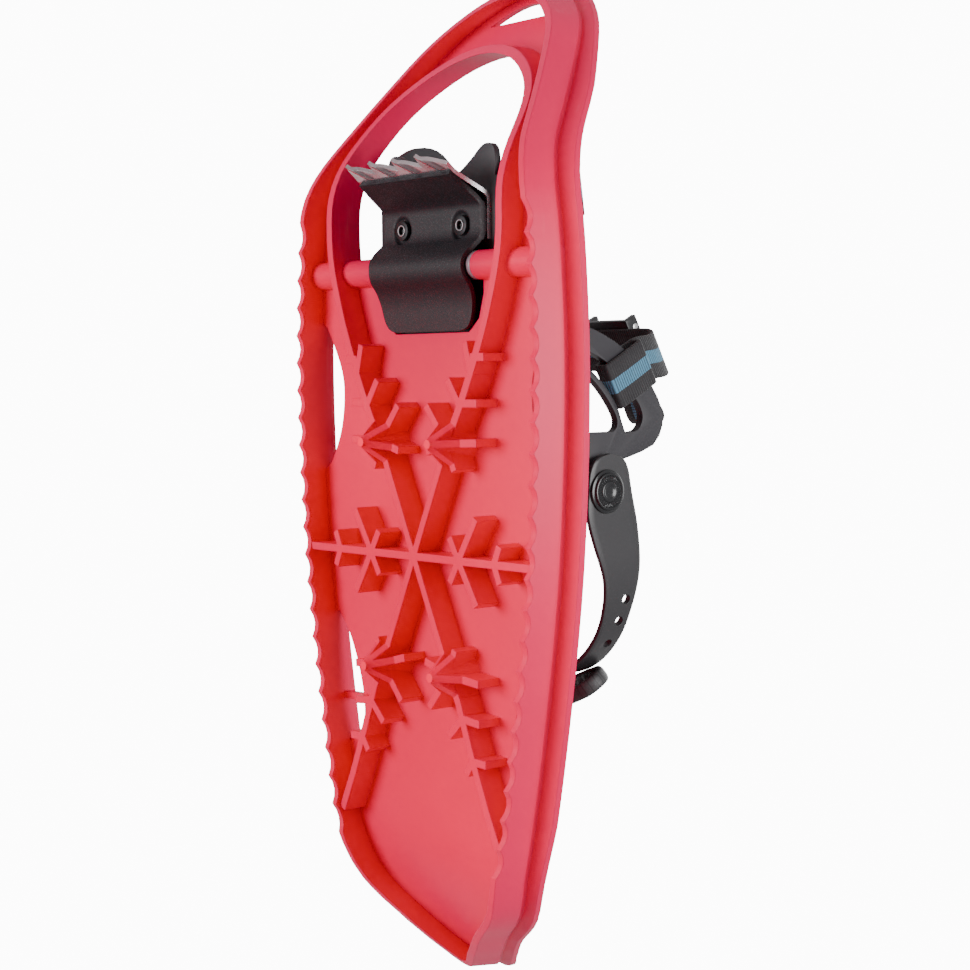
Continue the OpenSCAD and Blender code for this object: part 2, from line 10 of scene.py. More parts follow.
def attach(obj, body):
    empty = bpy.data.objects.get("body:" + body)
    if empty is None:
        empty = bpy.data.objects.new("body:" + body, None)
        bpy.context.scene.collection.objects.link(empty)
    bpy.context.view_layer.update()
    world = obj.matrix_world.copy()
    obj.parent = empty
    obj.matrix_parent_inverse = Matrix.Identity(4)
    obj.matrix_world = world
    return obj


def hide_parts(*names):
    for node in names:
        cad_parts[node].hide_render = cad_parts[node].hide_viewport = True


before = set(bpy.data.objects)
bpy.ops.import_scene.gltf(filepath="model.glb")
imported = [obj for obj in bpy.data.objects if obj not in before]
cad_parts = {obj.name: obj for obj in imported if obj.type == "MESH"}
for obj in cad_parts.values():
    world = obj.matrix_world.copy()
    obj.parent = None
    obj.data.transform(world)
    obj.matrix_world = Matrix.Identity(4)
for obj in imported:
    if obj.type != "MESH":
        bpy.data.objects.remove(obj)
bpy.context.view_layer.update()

bl_info = {
    "name": "Child's Snowshoe",
    "version": (1, 0, 0),
    "blender": (4, 5, 0),
    "location": "View3D > Sidebar > Snowshoe",
    "description": "Builds the visible pieces of a moulded child's snowshoe around its CAD frame",
    "category": "Add Mesh",
}

MM = 0.001
MID_Y = 30.0        # middle of the length, in millimetres ahead of the cross rib
SPIKE_DROP = 7.5    # the spikes' tips below the rim's lower edge
FLAT_WITHIN = 0.6   # degrees between faces that count as one plane


def at(x, y, z):
    """A point given in millimetres from the cross rib and the rim's lower edge, in metres in the frame."""
    return Vector((x * MM, (y - MID_Y) * MM, (z + SPIKE_DROP) * MM))


# -------------------- curves

def smooth_curve(points, steps, closed=False):
    """A Catmull-Rom curve through the points."""
    points = [Vector(p) for p in points]
    n = len(points)
    out = []
    spans = n if closed else n - 1
    for i in range(spans):
        b, c = points[i], points[(i + 1) % n]
        a = points[i - 1] if closed or i > 0 else 2 * b - c
        d = points[(i + 2) % n] if closed or i < n - 2 else 2 * c - b
        for k in range(steps):
            t = k / steps
            out.append(0.5 * (2 * b + (c - a) * t + (2 * a - 5 * b + 4 * c - d) * t * t
                              + (3 * b - a - 3 * c + d) * t ** 3))
    if not closed:
        out.append(points[-1])
    return out


def value_on(pairs, x):
    """Straight-line interpolation in a short list of (x, value)."""
    for (x0, v0), (x1, v1) in zip(pairs, pairs[1:]):
        if x <= x1:
            t = 0.0 if x1 == x0 else (x - x0) / (x1 - x0)
            return v0 + (v1 - v0) * min(1.0, max(0.0, t))
    return pairs[-1][1]


def smooth_step(t):
    """0 below 0, 1 above 1 and an easy slope between them."""
    t = min(1.0, max(0.0, t))
    return t * t * (3 - 2 * t)


# -------------------- meshes

def new_object(name, data):
    """An object for the data, in the scene."""
    obj = bpy.data.objects.new(name, data)
    bpy.context.scene.collection.objects.link(obj)
    return obj


def crease(mesh, angle):
    """Smooth shading, with the edges sharper than the angle kept crisp."""
    bm = bmesh.new()
    bm.from_mesh(mesh)
    for face in bm.faces:
        face.smooth = True
    for edge in bm.edges:
        edge.smooth = edge.is_manifold and edge.calc_face_angle(0.0) < math.radians(angle)
    bm.to_mesh(mesh)
    bm.free()


def settle(obj):
    """Replaces the object's mesh with the result of its modifiers."""
    graph = bpy.context.evaluated_depsgraph_get()
    mesh = bpy.data.meshes.new_from_object(obj.evaluated_get(graph))
    obj.modifiers.clear()
    obj.data = mesh


def place(obj, node, material, body="binding_body"):
    """Gives the piece its material and its body, and puts it in place of a CAD node."""
    obj.data.materials.clear()
    obj.data.materials.append(material)
    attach(obj, body)
    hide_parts(node)
    return obj


def solid(name, verts, faces, angle=38, bevel=0.0, segments=2, limit=40, uv=None):
    """An object from points and faces, with its sharp edges rounded. The UVs go with the points."""
    mesh = bpy.data.meshes.new(name)
    mesh.from_pydata([tuple(v) for v in verts], [], faces)
    if uv:
        layer = mesh.uv_layers.new(name="length_and_width")
        for loop in mesh.loops:
            layer.data[loop.index].uv = uv[loop.vertex_index]
    bm = bmesh.new()
    bm.from_mesh(mesh)
    bmesh.ops.recalc_face_normals(bm, faces=bm.faces)
    bm.to_mesh(mesh)
    bm.free()
    obj = new_object(name, mesh)
    if bevel:
        round_edges(obj, bevel, segments, limit)
    crease(obj.data, angle)
    return obj


def round_edges(obj, width, segments=2, limit=40):
    """Rounds the edges sharper than the limit in degrees; the width is in millimetres."""
    mod = obj.modifiers.new("rounded", "BEVEL")
    mod.width = width * MM
    mod.segments = segments
    mod.limit_method = "ANGLE"
    mod.angle_limit = math.radians(limit)
    mod.use_clamp_overlap = True
    settle(obj)


def copy_of(node, name):
    """A clean copy of a CAD node's mesh, as a new object."""
    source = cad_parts[node]
    mesh = source.data.copy()
    mesh.transform(source.matrix_world)
    bm = bmesh.new()
    bm.from_mesh(mesh)
    bmesh.ops.remove_doubles(bm, verts=bm.verts, dist=0.02 * MM)
    bmesh.ops.dissolve_degenerate(bm, edges=bm.edges, dist=0.01 * MM)
    bm.to_mesh(mesh)
    bm.free()
    mesh.name = name
    return new_object(name, mesh)


def merge_flats(obj):
    """Joins the triangles that lie in one plane."""
    bm = bmesh.new()
    bm.from_mesh(obj.data)
    bmesh.ops.dissolve_limit(bm, angle_limit=math.radians(FLAT_WITHIN), verts=bm.verts, edges=bm.edges)
    bm.to_mesh(obj.data)
    bm.free()


def refined(node, name, material, body="binding_body", bevel=0.3, segments=2, angle=38):
    """The CAD node again, with its sharp edges rounded and its round faces smooth."""
    obj = copy_of(node, name)
    merge_flats(obj)
    round_edges(obj, bevel, segments)
    crease(obj.data, angle)
    return place(obj, node, material, body)


def tube_of(rings, closed_ring=True, loop=False):
    """Points and faces of a skin through rings of equal length, capped unless it runs in a loop."""
    n = len(rings[0])
    verts = [p for ring in rings for p in ring]
    faces = []
    count = len(rings)
    for i in range(count if loop else count - 1):
        j = (i + 1) % count
        for k in range(n if closed_ring else n - 1):
            m = (k + 1) % n
            faces.append((i * n + k, i * n + m, j * n + m, j * n + k))
    if not loop:
        faces.append(tuple(range(n))[::-1])
        faces.append(tuple((count - 1) * n + k for k in range(n)))
    return verts, faces


def sheet_of(first, second):
    """Points and faces of a closed sheet between two equal grids of points, one for each of its sides."""
    rows, wide = len(first), len(first[0])
    verts = [p for row in first for p in row] + [p for row in second for p in row]
    base = rows * wide
    faces = []
    for i in range(rows - 1):
        for k in range(wide - 1):
            a = i * wide + k
            faces.append((a, a + 1, a + wide + 1, a + wide))
            faces.append((base + a, base + a + wide, base + a + wide + 1, base + a + 1))
    for k in range(wide - 1):
        last = (rows - 1) * wide + k
        faces.append((k, base + k, base + k + 1, k + 1))
        faces.append((last, last + 1, base + last + 1, base + last))
    for i in range(rows - 1):
        a, b = i * wide, i * wide + wide - 1
        faces.append((a, a + wide, base + a + wide, base + a))
        faces.append((b, base + b, base + b + wide, b + wide))
    return verts, faces


def strap_section(width, thickness):
    """Section of a flat strap: (across, out of the face) pairs with softened edges."""
    w, t = width / 2, thickness / 2
    e = t * 0.45
    half = [(-w, -t + e), (-w + e, -t), (-w * 0.5, -t), (0, -t), (w * 0.5, -t), (w - e, -t), (w, -t + e)]
    return half + [(-a, -b) for a, b in half]


def strap(name, path, across, width, thickness):
    """A flat strap along a path of points, all in metres, with its width along `across`.

    Its UVs run in metres along the strap and from 0 to 1 over its width.
    """
    section = strap_section(width, thickness)
    across = Vector(across).normalized()
    rings, uv, run = [], [], 0.0
    for i, p in enumerate(path):
        ahead = path[min(i + 1, len(path) - 1)] - path[max(i - 1, 0)]
        out = ahead.cross(across).normalized()
        if i:
            run += (p - path[i - 1]).length
        rings.append([p + across * a + out * b for a, b in section])
        uv += [(run, 0.5 + a / width) for a, b in section]
    verts, faces = tube_of(rings)
    return solid(name, verts, faces, uv=uv, angle=50)


# -------------------- effects shared by the materials

class Net:
    """Shorthand for adding shader nodes to a tree and joining them."""

    def __init__(self, tree):
        self.tree = tree

    def add(self, kind, **values):
        node = self.tree.nodes.new(kind)
        for key, value in values.items():
            setattr(node, key, value)
        return node

    def join(self, source, target):
        self.tree.links.new(source, target)

    def math(self, operation, a, b=None, clamp=False):
        """The result of a sum on numbers or sockets."""
        node = self.add("ShaderNodeMath", operation=operation, use_clamp=clamp)
        for socket, value in zip(node.inputs, (a, b)):
            if value is None:
                continue
            if isinstance(value, (int, float)):
                socket.default_value = value
            else:
                self.join(value, socket)
        return node.outputs[0]

    def spread(self, value, low, high, to_low=0.0, to_high=1.0):
        """The value eased from one range into another."""
        node = self.add("ShaderNodeMapRange", interpolation_type="SMOOTHSTEP")
        self.join(value, node.inputs[0])
        for socket, number in zip(node.inputs[1:5], (low, high, to_low, to_high)):
            socket.default_value = number
        return node.outputs[0]

    def blend(self, factor, a, b):
        """The colour between two others."""
        node = self.add("ShaderNodeMix", data_type="RGBA", blend_type="MIX")
        for socket, value in ((node.inputs[0], factor), (node.inputs[6], a), (node.inputs[7], b)):
            if isinstance(value, (int, float)):
                socket.default_value = value
            elif isinstance(value, (tuple, list)):
                socket.default_value = (*value[:3], 1.0)
            else:
                self.join(value, socket)
        return node.outputs[2]

    def uv(self):
        """The two UV coordinates."""
        node = self.add("ShaderNodeSeparateXYZ")
        self.join(self.add("ShaderNodeTexCoord").outputs["UV"], node.inputs[0])
        return node.outputs[0], node.outputs[1]

    def noise(self, scale, detail=2.0, rough=0.5, stretch=None):
        """Noise in the piece's own space, drawn out where the stretch is small."""
        where = self.add("ShaderNodeTexCoord").outputs["Object"]
        if stretch:
            mapping = self.add("ShaderNodeMapping")
            mapping.inputs["Scale"].default_value = stretch
            self.join(where, mapping.inputs[0])
            where = mapping.outputs[0]
        node = self.add("ShaderNodeTexNoise")
        node.inputs["Detail"].default_value = detail
        node.inputs["Roughness"].default_value = rough
        if isinstance(scale, (int, float)):
            node.inputs["Scale"].default_value = scale
        else:
            self.join(scale, node.inputs["Scale"])
        self.join(where, node.inputs["Vector"])
        return node.outputs["Fac"]


def effect(name, inputs):
    """An empty shader node group that gives a colour, a roughness and a height, and a Net to fill it."""
    tree = bpy.data.node_groups.new(name, "ShaderNodeTree")
    for label, default in inputs.items():
        kind = "NodeSocketColor" if isinstance(default, tuple) else "NodeSocketFloat"
        tree.interface.new_socket(label, in_out="INPUT", socket_type=kind).default_value = default
    for label, kind in (("Colour", "Color"), ("Roughness", "Float"), ("Height", "Float")):
        tree.interface.new_socket(label, in_out="OUTPUT", socket_type="NodeSocket" + kind)
    net = Net(tree)
    return tree, net, net.add("NodeGroupInput"), net.add("NodeGroupOutput")


def moulded_skin():
    """Fine spark-eroded grain, slow changes of tone from the melt's flow, and faint rub marks."""
    tree, net, given, out = effect(
        "Moulded Skin",
        {"Base": (0.8, 0.8, 0.8, 1), "Deep": (0.5, 0.5, 0.5, 1), "Grain Scale": 2500.0, "Roughness": 0.45,
         "Rub": 0.3})
    flow = net.noise(16.0, 3.0, 0.5)
    tone = net.spread(flow, 0.3, 0.75)
    grain = net.noise(given.outputs["Grain Scale"], 3.0, 0.6)
    rub = net.spread(net.noise(60.0, 4.0, 0.65, stretch=(1.0, 0.12, 1.0)), 0.62, 0.8)
    rub = net.math("MULTIPLY", rub, given.outputs["Rub"])
    colour = net.blend(tone, given.outputs["Base"], given.outputs["Deep"])
    net.join(net.blend(net.math("MULTIPLY", rub, 0.25), colour, (1.0, 0.9, 0.9)), out.inputs["Colour"])
    rough = net.math("ADD", given.outputs["Roughness"], net.math("MULTIPLY", grain, 0.12))
    rough = net.math("ADD", rough, net.math("MULTIPLY", rub, 0.15))
    net.join(net.math("SUBTRACT", rough, 0.06), out.inputs["Roughness"])
    net.join(grain, out.inputs["Height"])
    return tree


def powder_speckle():
    """Pebbly powder coat: rounded grains of two sizes, each lightened at its crown as a painted glint, in
    patches.
    """
    tree, net, given, out = effect(
        "Powder Speckle", {"Base": (0.02, 0.02, 0.02, 1), "Painted Glint": (0.1, 0.1, 0.1, 1), "Scale": 1600.0})
    place_at = net.add("ShaderNodeTexCoord").outputs["Object"]
    cells = net.add("ShaderNodeTexVoronoi")
    net.join(place_at, cells.inputs["Vector"])
    net.join(given.outputs["Scale"], cells.inputs["Scale"])
    pebble = net.math("SUBTRACT", 1.0, cells.outputs["Distance"], clamp=True)
    fine = net.noise(4200.0, 2.0, 0.6)
    height = net.math("ADD", net.math("MULTIPLY", pebble, 0.7), net.math("MULTIPLY", fine, 0.5))
    # Painted highlight: the grains' crowns are lightened towards the glint colour, in random patches.
    painted_glint_tops = net.spread(height, 0.72, 1.02)
    patch = net.spread(net.noise(90.0, 3.0, 0.6), 0.35, 0.7, 0.35, 1.0)
    net.join(net.blend(net.math("MULTIPLY", painted_glint_tops, patch), given.outputs["Base"], given.outputs["Painted Glint"]),
             out.inputs["Colour"])
    net.join(net.spread(height, 0.4, 1.0, 0.62, 0.34), out.inputs["Roughness"])
    net.join(height, out.inputs["Height"])
    return tree


def ribbed_weave():
    """Grosgrain webbing: cross ribs, yarns that run along it, a coloured stripe down its middle, and painted
    shade in the hollows of the weave.
    """
    tree, net, given, out = effect(
        "Ribbed Weave",
        {"Ground": (0.02, 0.02, 0.02, 1), "Stripe": (0.1, 0.4, 0.6, 1), "Stripe Width": 0.3,
         "Rib Pitch": 0.0011, "Yarns": 34.0})
    run, over = net.uv()
    along = net.math("DIVIDE", run, given.outputs["Rib Pitch"])
    rib = net.math("ABSOLUTE", net.math("SINE", net.math("MULTIPLY", along, math.pi)))
    yarn = net.math("MULTIPLY", over, given.outputs["Yarns"])
    yarn = net.math("ABSOLUTE", net.math("SINE", net.math("MULTIPLY", yarn, math.pi)))
    off = net.math("ABSOLUTE", net.math("SUBTRACT", over, 0.5))
    half = net.math("MULTIPLY", given.outputs["Stripe Width"], 0.5)
    stripe = net.math("LESS_THAN", off, half)
    height = net.math("ADD", net.math("MULTIPLY", rib, 0.8), net.math("MULTIPLY", yarn, 0.2))
    fuzz = net.noise(5000.0, 2.0, 0.7)
    # Painted shade: the colour sinks to near black in the low parts between ribs and yarns, with random fuzz
    # in its tone.
    shade = net.spread(net.math("ADD", height, net.math("MULTIPLY", fuzz, 0.25)), 0.2, 1.1, 0.12, 1.0)
    dyed = net.blend(stripe, given.outputs["Ground"], given.outputs["Stripe"])
    net.join(net.blend(shade, (0.004, 0.004, 0.006), dyed), out.inputs["Colour"])
    net.join(net.spread(fuzz, 0.2, 0.8, 0.62, 0.85), out.inputs["Roughness"])
    net.join(height, out.inputs["Height"])
    return tree


def rolled_steel():
    """Bare sheet steel: long fine brushing, cloudy rolling marks and darker spots of handling."""
    tree, net, given, out = effect(
        "Rolled Steel", {"Base": (0.6, 0.6, 0.6, 1), "Tarnish": (0.3, 0.3, 0.3, 1), "Roughness": 0.25})
    brushing = net.noise(900.0, 3.0, 0.6, stretch=(0.06, 1.0, 1.0))
    cloud = net.spread(net.noise(110.0, 4.0, 0.6), 0.4, 0.72)
    net.join(net.blend(cloud, given.outputs["Base"], given.outputs["Tarnish"]), out.inputs["Colour"])
    rough = net.math("ADD", given.outputs["Roughness"], net.math("MULTIPLY", brushing, 0.16))
    net.join(net.math("ADD", rough, net.math("MULTIPLY", cloud, 0.1)), out.inputs["Roughness"])
    net.join(brushing, out.inputs["Height"])
    return tree


def diamond_grip():
    """Raised diamonds for the thumb, drawn on the pad's own flat coordinates, with painted shade in the
    grooves between them.
    """
    tree, net, given, out = effect(
        "Diamond Grip",
        {"Base": (0.02, 0.02, 0.02, 1), "Painted Groove Shade": (0.005, 0.005, 0.005, 1), "Pitch": 0.0026})
    u, v = net.uv()
    slopes = []
    for sign in ("ADD", "SUBTRACT"):
        across = net.math(sign, u, v)
        turn = net.math("MULTIPLY", net.math("DIVIDE", across, given.outputs["Pitch"]), math.pi)
        slopes.append(net.math("ABSOLUTE", net.math("SINE", turn)))
    pyramid = net.math("MINIMUM", slopes[0], slopes[1])
    inside = net.math("LESS_THAN", u, 0.5)
    height = net.math("MULTIPLY", net.spread(pyramid, 0.05, 0.8), inside)
    fine = net.noise(2600.0, 2.0, 0.6)
    # Painted shade: the grooves between the diamonds are darkened towards the groove shade colour.
    tone = net.spread(net.math("ADD", pyramid, net.math("MULTIPLY", fine, 0.15)), 0.05, 0.4)
    net.join(net.blend(tone, given.outputs["Painted Groove Shade"], given.outputs["Base"]), out.inputs["Colour"])
    net.join(net.spread(fine, 0.3, 0.7, 0.42, 0.6), out.inputs["Roughness"])
    net.join(net.math("ADD", height, net.math("MULTIPLY", fine, 0.05)), out.inputs["Height"])
    return tree


EFFECTS = {"skin": moulded_skin, "speckle": powder_speckle, "weave": ribbed_weave, "steel": rolled_steel,
           "diamonds": diamond_grip}
built = {}      # the groups and materials made so far, by name


def surface(name, kind, values, depth=0.02, strength=0.4, edge=0.0, **plain):
    """A Principled material fed by one shared effect. Constant values go straight to its sockets."""
    if name in built:
        return built[name]
    if kind not in built:
        built[kind] = EFFECTS[kind]()
    material = bpy.data.materials.new(name)
    material.use_nodes = True
    net = Net(material.node_tree)
    shader = material.node_tree.nodes["Principled BSDF"]
    use = net.add("ShaderNodeGroup", node_tree=built[kind])
    for label, value in values.items():
        use.inputs[label].default_value = (*value, 1.0) if isinstance(value, (tuple, list)) else value
    net.join(use.outputs["Colour"], shader.inputs["Base Color"])
    net.join(use.outputs["Roughness"], shader.inputs["Roughness"])
    bump = net.add("ShaderNodeBump")
    bump.inputs["Strength"].default_value = strength
    bump.inputs["Distance"].default_value = depth * MM
    net.join(use.outputs["Height"], bump.inputs["Height"])
    if edge:
        rounding = net.add("ShaderNodeBevel", samples=6)
        rounding.inputs["Radius"].default_value = edge * MM
        net.join(rounding.outputs[0], bump.inputs["Normal"])
    net.join(bump.outputs["Normal"], shader.inputs["Normal"])
    for label, value in plain.items():
        shader.inputs[label.replace("_", " ")].default_value = value
    built[name] = material
    return material


def deck_plastic():
    c = bpy.context.scene.snowshoe_colours
    return surface("Coral Deck Plastic", "skin",
                   {"Base": tuple(c.deck), "Deep": [v * 0.93 for v in c.deck], "Grain Scale": 2200.0,
                    "Roughness": 0.38, "Rub": 0.2},
                   depth=0.03, strength=0.25, edge=0.7, Specular_IOR_Level=0.28)


def cover_coat():
    # The bright speckles on this black coat are painted glints.
    return surface("Black Powder Coat", "speckle",
                   {"Base": (0.013, 0.011, 0.015), "Painted Glint": (0.17, 0.16, 0.17), "Scale": 1500.0},
                   depth=0.09, strength=0.5)


def soft_black():
    c = bpy.context.scene.snowshoe_colours
    return surface("Black Elastomer", "skin",
                   {"Base": tuple(c.elastomer), "Deep": [v * 0.8 for v in c.elastomer],
                    "Grain Scale": 3200.0, "Roughness": 0.5, "Rub": 0.35},
                   depth=0.02, strength=0.2, IOR=1.48)


def hard_black():
    return surface("Black Moulded Plastic", "skin",
                   {"Base": (0.016, 0.015, 0.018), "Deep": (0.010, 0.010, 0.012), "Grain Scale": 2600.0,
                    "Roughness": 0.36, "Rub": 0.2}, depth=0.02, strength=0.2)


def gloss_black():
    return surface("Polished Black Plastic", "skin",
                   {"Base": (0.010, 0.010, 0.012), "Deep": (0.006, 0.006, 0.008), "Grain Scale": 1800.0,
                    "Roughness": 0.22, "Rub": 0.2}, depth=0.01, strength=0.15)


def bare_steel():
    return surface("Bare Stamped Steel", "steel",
                   {"Base": (0.86, 0.85, 0.87), "Tarnish": (0.66, 0.64, 0.66), "Roughness": 0.12},
                   depth=0.01, strength=0.25, Metallic=1.0)


def plated_steel():
    return surface("Plated Steel", "steel",
                   {"Base": (0.62, 0.62, 0.63), "Tarnish": (0.42, 0.42, 0.44), "Roughness": 0.24},
                   depth=0.01, strength=0.2, Metallic=1.0)


def blackened_steel():
    return surface("Blackened Steel", "steel",
                   {"Base": (0.035, 0.034, 0.037), "Tarnish": (0.018, 0.018, 0.02), "Roughness": 0.3},
                   depth=0.01, strength=0.2, Metallic=0.7)


def bush_plastic():
    return surface("Grey Translucent Plastic", "skin",
                   {"Base": (0.36, 0.33, 0.37), "Deep": (0.28, 0.26, 0.29), "Grain Scale": 2400.0,
                    "Roughness": 0.22, "Rub": 0.1},
                   depth=0.01, strength=0.15, Subsurface_Weight=0.25, Subsurface_Scale=0.002)


def webbing():
    c = bpy.context.scene.snowshoe_colours
    return surface("Striped Webbing", "weave",
                   {"Ground": (0.014, 0.013, 0.016), "Stripe": tuple(c.stripe), "Stripe Width": 0.3,
                    "Rib Pitch": 0.0013, "Yarns": 34.0},
                   depth=0.25, strength=0.8, Sheen_Weight=0.15)


def strap_rubber():
    return surface("Heel Strap Rubber", "skin",
                   {"Base": (0.030, 0.029, 0.032), "Deep": (0.022, 0.021, 0.024), "Grain Scale": 1500.0,
                    "Roughness": 0.40, "Rub": 0.5},
                   depth=0.02, strength=0.2, edge=0.4, IOR=1.5)


def grip_rubber():
    # The grooves' darker colour is painted shade.
    return surface("Diamond Grip Rubber", "diamonds",
                   {"Base": (0.036, 0.035, 0.038), "Painted Groove Shade": (0.008, 0.008, 0.009), "Pitch": 0.0046},
                   depth=0.5, strength=0.9)


# -------------------- settings

COLOUR = {"subtype": "COLOR", "size": 3, "min": 0, "max": 1}


class SnowshoeColours(bpy.types.PropertyGroup):
    deck: FloatVectorProperty(
        name="Deck", description="Colour of the moulded deck", default=(0.95, 0.005, 0.105), **COLOUR)
    elastomer: FloatVectorProperty(
        name="Cradle", description="Colour of the soft black cradle", default=(0.024, 0.022, 0.028),
        **COLOUR)
    stripe: FloatVectorProperty(
        name="Stripe", description="Colour of the stripe woven into the webbing",
        default=(0.10, 0.30, 0.46), **COLOUR)


class SnowshoeShape(bpy.types.PropertyGroup):
    wall_lean: FloatProperty(
        name="Wall Lean", description="How far the rim's wall leans outwards at its top", unit="LENGTH",
        default=0.0020, min=0.0, max=0.003)
    cover_thickness: FloatProperty(
        name="Cover Thickness", description="Thickness of the cover's flap and front slope", unit="LENGTH",
        default=0.0022, min=0.0015, max=0.003)
    gusset_height: FloatProperty(
        name="Gusset Height", description="Height of the gussets stamped into the teeth", unit="LENGTH",
        default=0.0009, min=0.0, max=0.002)
    cradle_rounding: FloatProperty(
        name="Cradle Rounding", description="Radius of the cradle's outer edges", unit="LENGTH",
        default=0.0009, min=0.0002, max=0.0015)
    button_marks: IntProperty(
        name="Button Marks", description="Number of raised marks around a button", default=26, min=8,
        max=40)


class SnowshoeStage(bpy.types.PropertyGroup):
    key_power: FloatProperty(
        name="Key Light", description="Power of the large lamp below the shoe", unit="POWER",
        default=11.0, min=0.0)
    side_power: FloatProperty(
        name="Side Light", description="Power of the lamp at the shoe's left side", unit="POWER",
        default=11.0, min=0.0)
    top_power: FloatProperty(
        name="Top Light", description="Power of the lamp above the shoe", unit="POWER",
        default=6.0, min=0.0)
    sky: FloatProperty(
        name="Sky", description="How much light comes from the white surroundings", default=0.12, min=0.0,
        max=3.0)
    shine: FloatProperty(
        name="Shine", description="How bright the surroundings look in reflections", default=0.6, min=0.0,
        max=3.0)
    backdrop: FloatProperty(
        name="Backdrop", description="How bright the surroundings look behind the shoe", default=12.0,
        min=0.0, max=30.0)


# -------------------- deck

TOE_BEND_Y, TOE_BEND, TOE_SLOPE = 143.0, 30, 0.74
TAIL_BEND_Y, TAIL_EASE = -118.0, 135
WALL_HEIGHT = 14.0
WALL_INSIDE, WALL_OUTSIDE = -3.6, 0.6


def ground(y):
    """Height of the rim's lower edge: the toe bends up to a straight slope, the tail in a parabola."""
    u, v = y - TOE_BEND_Y, TAIL_BEND_Y - y
    tail = v * v / TAIL_EASE if v > 0 else 0.0
    if u <= 0:
        return tail
    if u < TOE_BEND:
        return TOE_SLOPE * u * u / (2 * TOE_BEND) + tail
    return TOE_SLOPE * (u - TOE_BEND / 2) + tail


# Half of the rim's outline seen from above, from the toe's point to the tail's
RIM = [(0, 241), (20, 236.5), (39.5, 222), (53, 200), (66, 172), (75.5, 146), (79.5, 105), (80, 60),
       (76.5, 0), (69, -55), (60, -104), (54, -127), (44, -147), (27, -161.5), (11.5, -174.5), (0, -182)]


def make_deck():
    """The CAD deck, with the rim's outer wall leaning out."""
    shape = bpy.context.scene.snowshoe_shape
    obj = copy_of("deck", "moulded_deck")
    left = [(-x, y) for x, y in RIM[-2:0:-1]]
    line = smooth_curve([(x, y, 0) for x, y in RIM + left], 30, closed=True)
    tree = KDTree(len(line))
    for i, p in enumerate(line):
        tree.insert(p, i)
    tree.balance()
    for v in obj.data.vertices:
        x, y = v.co.x / MM, v.co.y / MM + MID_Y
        h = v.co.z / MM - SPIKE_DROP - ground(y)
        _, i, _ = tree.find((x, y, 0))
        ahead = line[(i + 1) % len(line)] - line[i - 1]
        out = Vector((-ahead.y, ahead.x, 0)).normalized()
        off = (Vector((x, y, 0)) - line[i]).dot(out)
        if WALL_INSIDE < off < WALL_OUTSIDE:
            v.co += out * shape.wall_lean * min(1.0, max(0.0, h / WALL_HEIGHT))
    crease(obj.data, 32)
    return place(obj, "deck", deck_plastic(), "deck_body")


# -------------------- crampon

# The cover's underside from the flap to the front edge, as (y, z), and its half width at y
COVER_SIDE = [(93.0, 11.6), (98, 11.2), (103, 10.8), (107, 9.9), (110.5, 8.4), (114.0, 5.9), (116.6, 4.7),
              (119.5, 4.25), (122.4, 4.7), (125, 6.3), (128.3, 9.8), (131, 12.8), (134.5, 14.0), (139, 14.0),
              (143.5, 13.8), (146.2, 11.9), (150.5, 6.0), (155.6, -0.9)]
COVER_HALF = [(93.0, 20.5), (93.3, 23.4), (94.0, 25.4), (95.2, 27.0), (97, 28.4), (100, 29.6), (104, 30.5),
              (108, 31.2), (112, 31.5), (116, 31.2), (119.5, 30.9), (123, 31.4), (127, 32.4), (143, 32.4),
              (150, 31.4), (156, 29.9)]
SCREW_X, SCREW_Y = 19.5, 136.5
SCREW_HEAD_Z = 13.4
DIMPLE_R = 5.6
DIMPLE_DEPTH = 1.55
DIMPLE_EASE = 1.1       # how wide the dimple's wall is
SCREW_BAND = (131, 144.5, 2.9)      # from y, to y and thickness round the screws
SADDLE_BAND = (113.5, 125.5, 2.0)   # the same over the hub
COVER_COLUMNS = 92


def make_cover():
    """A pressed cover: flap, saddle round the hub, screw dimples and front slope."""
    shape = bpy.context.scene.snowshoe_shape
    line = smooth_curve([(0, y, z) for y, z in COVER_SIDE], 7)
    lower, upper = [], []
    for i, p in enumerate(line):
        ahead = line[min(i + 1, len(line) - 1)] - line[max(i - 1, 0)]
        up = Vector((0, -ahead.z, ahead.y)).normalized()
        thick = shape.cover_thickness / MM
        for start, end, band in (SCREW_BAND, SADDLE_BAND):
            if start < p.y < end:
                thick = band
        half = value_on(COVER_HALF, p.y)
        low_row, up_row = [], []
        for k in range(COVER_COLUMNS + 1):
            x = half * (2 * k / COVER_COLUMNS - 1)
            r = min(math.hypot(x - s * SCREW_X, p.y - SCREW_Y) for s in (-1, 1))
            press = DIMPLE_DEPTH * (1 - smooth_step((r - DIMPLE_R + 0.7) / DIMPLE_EASE))
            low = Vector((x, p.y, p.z)) + up * press
            high = Vector((x, p.y, p.z)) + up * thick
            low_row.append(at(*low))
            up_row.append(at(*high))
        lower.append(low_row)
        upper.append(up_row)
    verts, faces = sheet_of(lower, upper)
    obj = solid("crampon_cover_pressing", verts, faces, bevel=0.45, segments=3, limit=60, angle=50)
    return place(obj, "crampon_cover", cover_coat())


TOOTH_COUNT = 4
TOOTH_PITCH = 16.5
TOOTH_SPAN = 0.97       # share of the pitch that a tooth takes
TOOTH_FALL = 0.66       # how much shorter a tooth gets from its upright edge to its far edge
TOOTH_COLUMNS = 24
TOOTH_ROWS = 12
TOOTH_HALF = 33.0       # half the row of teeth
TOOTH_TIP = (0, 164.0, -6.6)
TIP_HALF = 31.4         # half the row of teeth at the tips
STEEL = 1.8
GUSSET_R = 1.5


